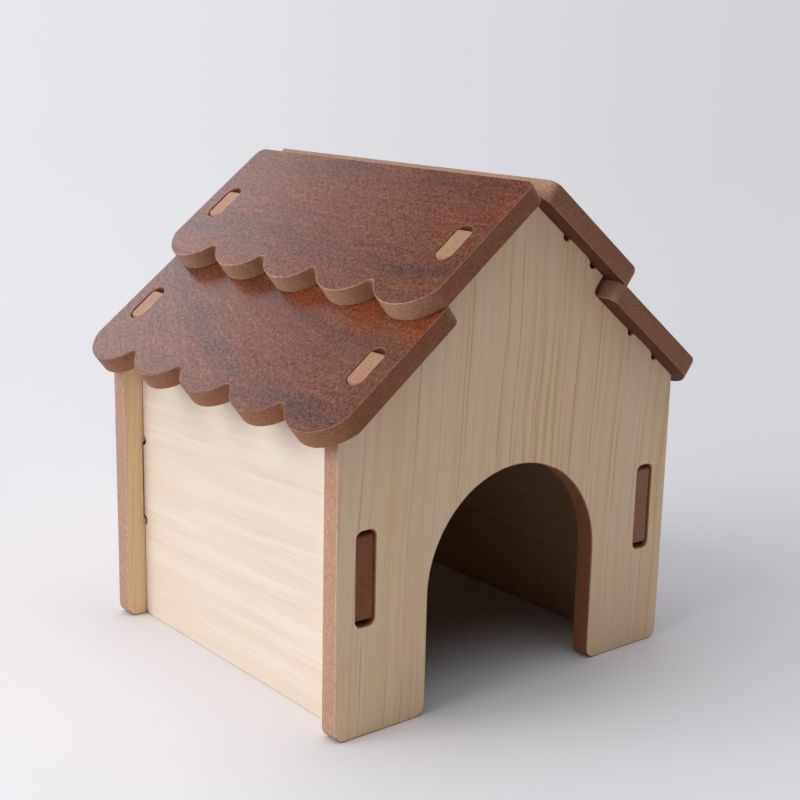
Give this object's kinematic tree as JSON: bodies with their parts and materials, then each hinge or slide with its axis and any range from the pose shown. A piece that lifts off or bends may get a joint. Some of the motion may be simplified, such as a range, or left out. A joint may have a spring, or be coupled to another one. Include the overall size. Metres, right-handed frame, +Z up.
{
  "type": "wooden hamster house",
  "caption": "Slot-together board house for a hamster: gable panels with an arched doorway, side walls and a scalloped board roof that lifts off.",
  "frame": {"origin": "on the floor, in the middle of the house's footprint", "axes": "+Z up, the doorway faces -Y, the ridge runs along Y and the left wall lies at -X"},
  "size_m": [0.1452, 0.1314, 0.1486],
  "materials": {
    "ash_print_board": "matt ash-grain film on MDF",
    "cream_print_board": "matt cream-grain film on MDF",
    "walnut_print_board": "satin pebbled red-brown film on MDF"
  },
  "bodies": {
    "house_body": {"front_panel": "ash_print_board", "back_panel": "ash_print_board", "left_wall": "cream_print_board", "right_wall": "cream_print_board"},
    "roof_left_lower": {"roof_left_lower": "walnut_print_board"},
    "roof_left_upper": {"roof_left_upper": "walnut_print_board"},
    "roof_right_lower": {"roof_right_lower": "walnut_print_board"},
    "roof_right_upper": {"roof_right_upper": "walnut_print_board"}
  },
  "joints": [
    {"name": "left_lower_lift", "type": "slide", "parent": "house_body", "child": "roof_left_lower", "axis": [-0.6157, 0, 0.788], "range_m": [0, 0.04]},
    {"name": "left_upper_lift", "type": "slide", "parent": "roof_left_lower", "child": "roof_left_upper", "axis": [-0.6157, 0, 0.788], "range_m": [0, 0.04]},
    {"name": "right_lower_lift", "type": "slide", "parent": "house_body", "child": "roof_right_lower", "axis": [0.6157, 0, 0.788], "range_m": [0, 0.04]},
    {"name": "right_upper_lift", "type": "slide", "parent": "roof_right_lower", "child": "roof_right_upper", "axis": [0.6157, 0, 0.788], "range_m": [0, 0.04]}
  ]
}
